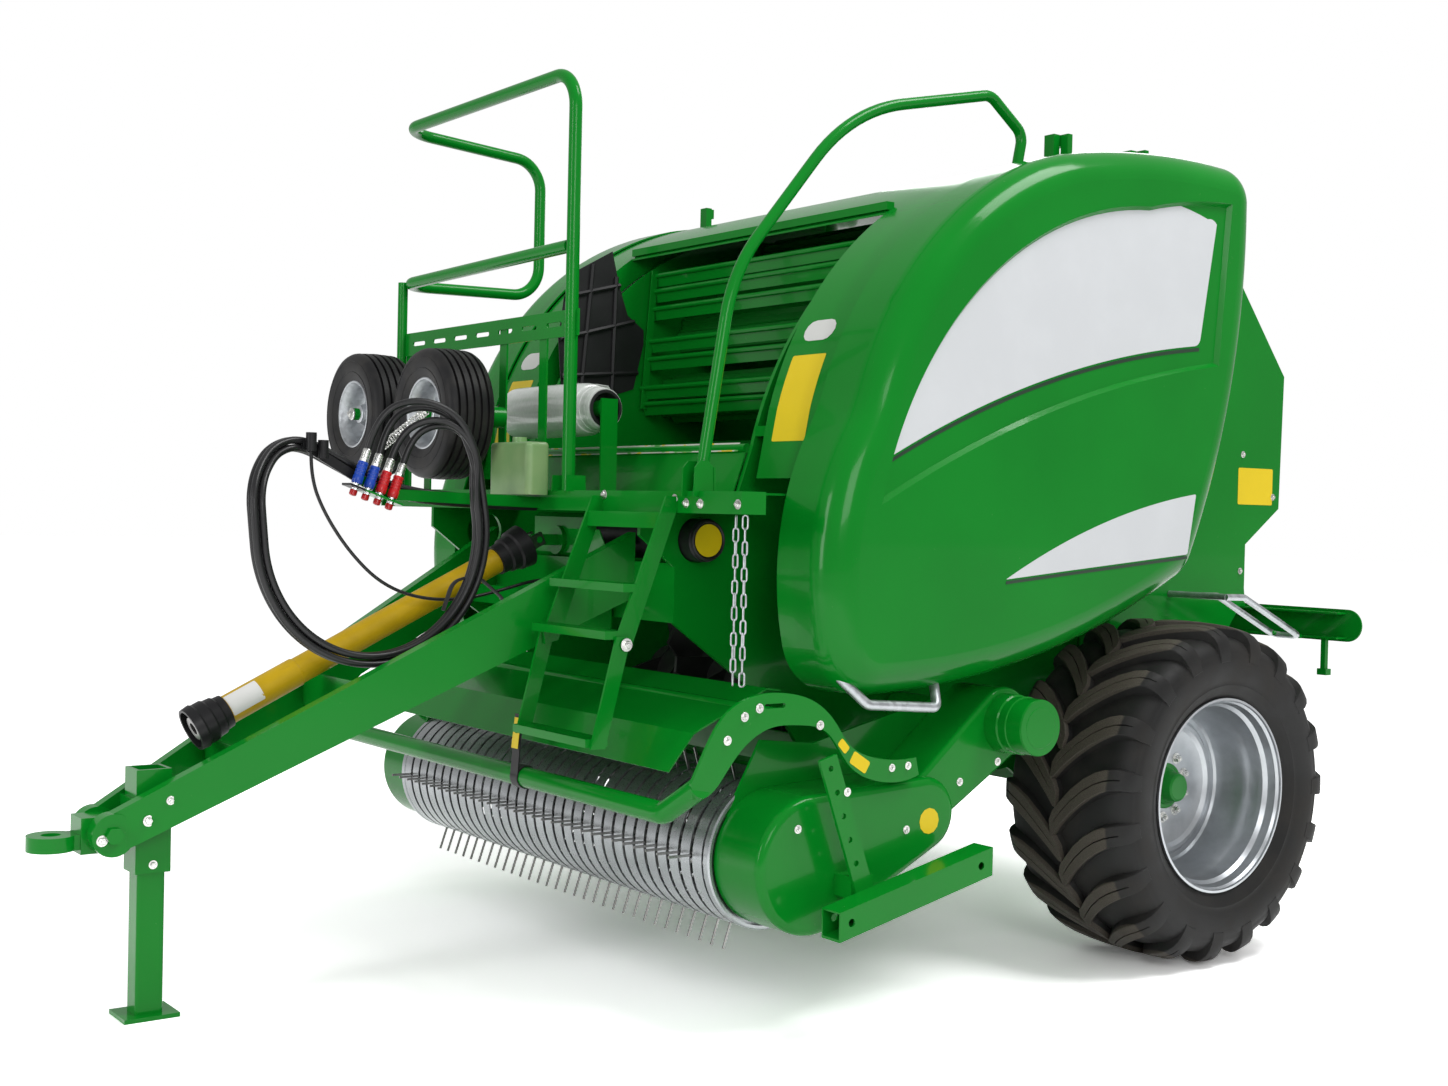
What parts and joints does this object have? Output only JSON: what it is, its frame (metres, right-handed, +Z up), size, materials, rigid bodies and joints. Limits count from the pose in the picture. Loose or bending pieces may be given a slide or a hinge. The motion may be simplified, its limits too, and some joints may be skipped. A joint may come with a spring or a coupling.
{
  "type": "round baler",
  "caption": "Towed fixed-chamber round baler with pick-up, roller chamber, opening tailgate and side doors, drive shaft, platform, ladder, rails and parking jack.",
  "frame": {"origin": "middle of the footprint on the ground", "axes": "+X to the machine's left, +Y rearwards, +Z up"},
  "size_m": [2.55, 4.232, 2.735],
  "materials": {
    "green": "gloss",
    "galvanised": "satin",
    "silver": "satin",
    "steel": "satin",
    "rubber": "matt",
    "tyre": "matt",
    "yellow": "satin",
    "black": "satin",
    "film": "satin",
    "tank": "satin"
  },
  "bodies": {
    "chassis": {"tow_eye": "green", "drawbar": "green", "gearbox": "black", "crossbeam": "green", "axle": "green", "side_plate_left": "green", "side_plate_right": "green", "chamber_rollers": "green", "front_cover": "green", "feed_floor": "green", "platform": "green", "left_rack": "green", "chains": "galvanised", "wrap_roll": "film", "oil_tank": "tank", "hose_holder": "green", "couplers": "steel", "hose_coil": "rubber", "hose_lead": "rubber", "hose_tails": "rubber", "control_cable": "rubber"},
    "left_wheel": {"tyre_left": "tyre", "wheel_left": "silver"},
    "right_wheel": {"tyre_right": "tyre", "wheel_right": "silver"},
    "tailgate": {"tailgate_left": "green", "tailgate_right": "green", "tailgate_skin": "green", "tailgate_rollers": "green", "light_beam": "green"},
    "door_left": {"side_door_left": "green"},
    "door_right": {"side_door_right": "green"},
    "pickup": {"pickup_frame": "green", "pickup_bands": "galvanised", "pickup_end_left": "green", "pickup_end_right": "green", "crop_guard": "green"},
    "reel": {"pickup_reel": "steel"},
    "rotor": {"feed_rotor": "green"},
    "gauge_1": {"gauge_wheel_1": "rubber"},
    "gauge_2": {"gauge_wheel_2": "rubber"},
    "jack": {"jack_leg": "green"},
    "ladder": {"ladder_lower": "green"},
    "pto": {"pto_guard": "yellow", "pto_shaft": "steel"}
  },
  "joints": [
    {"name": "wheel_left_spin", "type": "hinge", "parent": "chassis", "child": "left_wheel", "pos_m": [1.025, 1.181, 0.542], "axis": [1, 0, 0], "continuous": true},
    {"name": "wheel_right_spin", "type": "hinge", "parent": "chassis", "child": "right_wheel", "pos_m": [-1.025, 1.181, 0.542], "axis": [1, 0, 0], "continuous": true},
    {"name": "tailgate_lift", "type": "hinge", "parent": "chassis", "child": "tailgate", "pos_m": [0, 1.181, 2.47], "axis": [1, 0, 0], "range_deg": [0, 68]},
    {"name": "door_left_lift", "type": "hinge", "parent": "chassis", "child": "door_left", "pos_m": [0.925, 0.891, 2.585], "axis": [0, -1, 0], "range_deg": [0, 60]},
    {"name": "door_right_lift", "type": "hinge", "parent": "chassis", "child": "door_right", "pos_m": [-0.925, 0.891, 2.585], "axis": [0, 1, 0], "range_deg": [0, 60]},
    {"name": "pickup_lift", "type": "hinge", "parent": "chassis", "child": "pickup", "pos_m": [0, 0.351, 0.8], "axis": [1, 0, 0], "range_deg": [0, 9]},
    {"name": "reel_spin", "type": "hinge", "parent": "pickup", "child": "reel", "pos_m": [0, -0.379, 0.455], "axis": [1, 0, 0], "continuous": true},
    {"name": "rotor_spin", "type": "hinge", "parent": "chassis", "child": "rotor", "pos_m": [0, 0.351, 0.8], "axis": [1, 0, 0], "continuous": true},
    {"name": "gauge_wheel_1_spin", "type": "hinge", "parent": "chassis", "child": "gauge_1", "pos_m": [-0.218, -0.819, 1.687], "axis": [0, 1, 0], "continuous": true},
    {"name": "gauge_wheel_2_spin", "type": "hinge", "parent": "chassis", "child": "gauge_2", "pos_m": [-0.73, -0.819, 1.7], "axis": [0, 1, 0], "continuous": true},
    {"name": "jack_slide", "type": "slide", "parent": "chassis", "child": "jack", "axis": [0, 0, 1], "range_m": [0, 0.35]},
    {"name": "ladder_fold", "type": "hinge", "parent": "chassis", "child": "ladder", "pos_m": [0.62, -0.804, 1.04], "axis": [-1, 0, 0], "range_deg": [0, 140]},
    {"name": "pto_lift", "type": "hinge", "parent": "chassis", "child": "pto", "pos_m": [0, -0.609, 1.302], "axis": [-1, 0, 0], "range_deg": [0, 10]}
  ]
}
